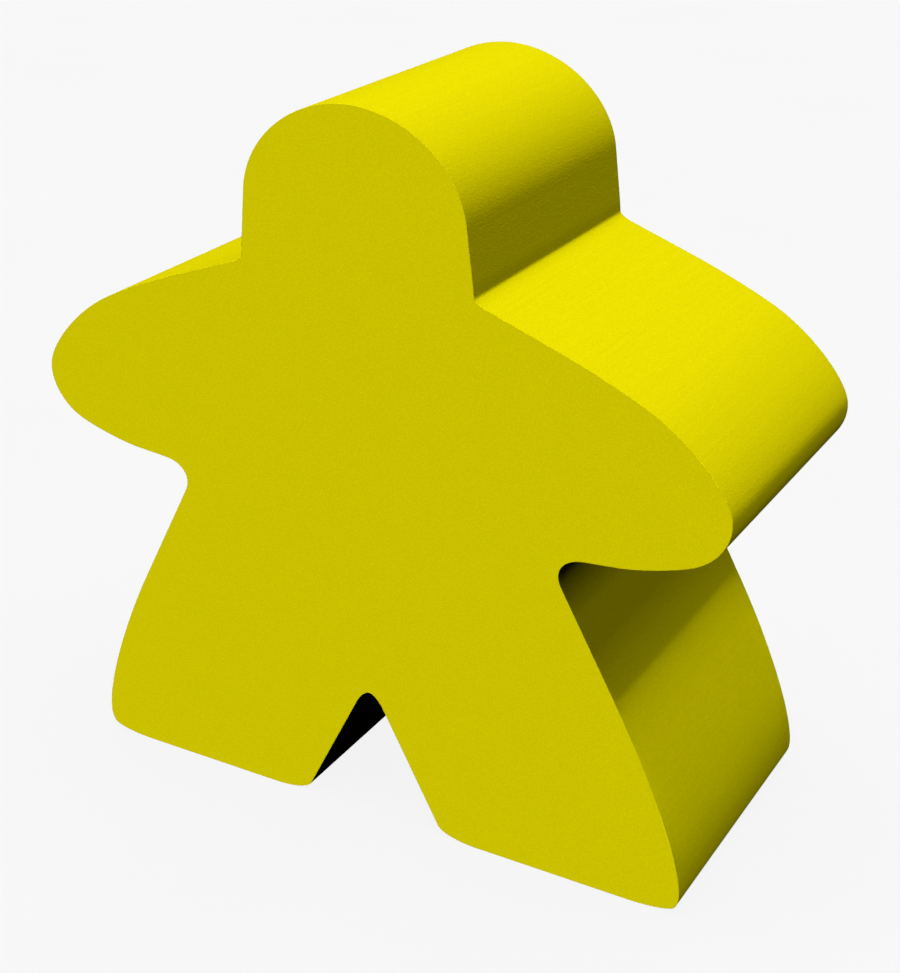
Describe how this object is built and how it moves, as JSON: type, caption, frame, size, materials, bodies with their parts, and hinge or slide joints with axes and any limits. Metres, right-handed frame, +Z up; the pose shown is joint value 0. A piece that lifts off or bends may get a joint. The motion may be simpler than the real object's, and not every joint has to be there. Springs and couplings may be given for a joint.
{
  "type": "wooden meeple",
  "caption": "Small flat wooden figure with round-cornered head, arms held out and a notch between two wide legs, painted plain yellow, used as a playing piece.",
  "frame": {"origin": "on the table under the middle of the figure, halfway between its two feet and halfway through its thickness", "axes": "+X to the figure's side, across both arms; +Y through the thickness, from the front face to the back face; +Z up, from the soles to the head"},
  "size_m": [0.0162, 0.0064, 0.016],
  "materials": {
    "beech": "matte",
    "yellow_paint": "matte"
  },
  "bodies": {
    "root": {"wood_body": "beech", "paint_coat": "yellow_paint"}
  },
  "joints": []
}
